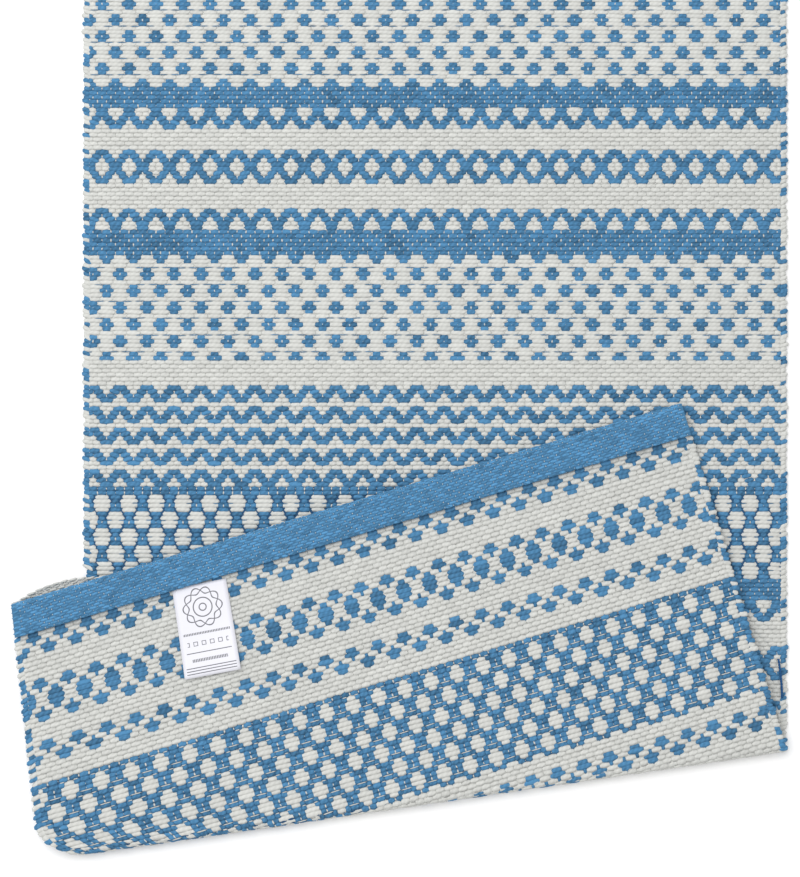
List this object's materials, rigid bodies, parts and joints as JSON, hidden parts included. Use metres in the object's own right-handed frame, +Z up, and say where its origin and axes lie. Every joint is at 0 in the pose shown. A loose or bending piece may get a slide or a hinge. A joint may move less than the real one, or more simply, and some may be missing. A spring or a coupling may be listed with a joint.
{
  "type": "runner rug",
  "caption": "Long flat-woven cotton runner rug in patterned stripes, one end folded back over it at a slant with its turned hem and sewn-in label showing.",
  "frame": {"origin": "on the floor under the middle of the woven cloth, which is the middle of its centre section's underside", "axes": "+X across the rug, +Y along it towards the far end, +Z up; the near end, at -Y, is folded back over the rug"},
  "size_m": [0.6654, 1.6254, 0.0185],
  "materials": {
    "patterned_weave": "matt thick-weft cotton, blue and off-white",
    "white_weft": "matt off-white cotton weft",
    "blue_weft": "matt mid-blue cotton weft",
    "hem_thread": "blue sewing thread",
    "label_satin": "white satin ribbon"
  },
  "bodies": {
    "main_length": {"centre_spots_section": "patterned_weave", "near_chain_border": "white_weft", "far_chain_border": "white_weft", "near_spots_section": "patterned_weave", "far_spots_section": "patterned_weave", "near_ripple_section": "patterned_weave", "far_ripple_section": "patterned_weave", "near_ovals_section": "patterned_weave", "near_stripe_border": "white_weft", "near_houndstooth_band": "patterned_weave", "left_selvedge": "white_weft", "right_selvedge": "white_weft", "carried_blue_yarn": "blue_weft"},
    "fold_turn": {"fold_turn": "white_weft"},
    "flap": {"flap_stripe_border": "white_weft", "flap_houndstooth_band": "patterned_weave", "flap_end_border": "white_weft", "flap_left_selvedge": "white_weft", "flap_right_selvedge": "white_weft", "near_hem": "blue_weft", "near_hem_seam": "hem_thread"},
    "label": {"care_label": "label_satin"},
    "far_end": {"far_ovals_section": "patterned_weave", "far_stripe_border": "white_weft", "far_houndstooth_band": "patterned_weave", "far_end_border": "white_weft", "far_left_selvedge": "white_weft", "far_right_selvedge": "white_weft", "far_hem": "blue_weft", "far_hem_seam": "hem_thread"}
  },
  "joints": [
    {"name": "near_fold_lower", "type": "hinge", "parent": "main_length", "child": "fold_turn", "pos_m": [0.0008, -0.65344, 0.0025], "axis": [0.9894, 0.1454, 0], "range_deg": [0, 90.5]},
    {"name": "near_fold_upper", "type": "hinge", "parent": "fold_turn", "child": "flap", "pos_m": [0.0008, -0.65344, 0.0135], "axis": [0.9894, 0.1454, 0], "range_deg": [0, 90.5]},
    {"name": "label_lift", "type": "hinge", "parent": "flap", "child": "label", "pos_m": [-0.2016, -0.4679, 0.0128], "axis": [-0.9577, -0.2877, 0.0028], "range_deg": [0, 95]},
    {"name": "far_fold", "type": "hinge", "parent": "main_length", "child": "far_end", "pos_m": [0, 0.3852, 0.0092], "axis": [1, 0, 0], "range_deg": [0, 180]}
  ],
  "couplings": [
    {"joint": "near_fold_upper", "follows": "near_fold_lower", "ratio": 1}
  ]
}
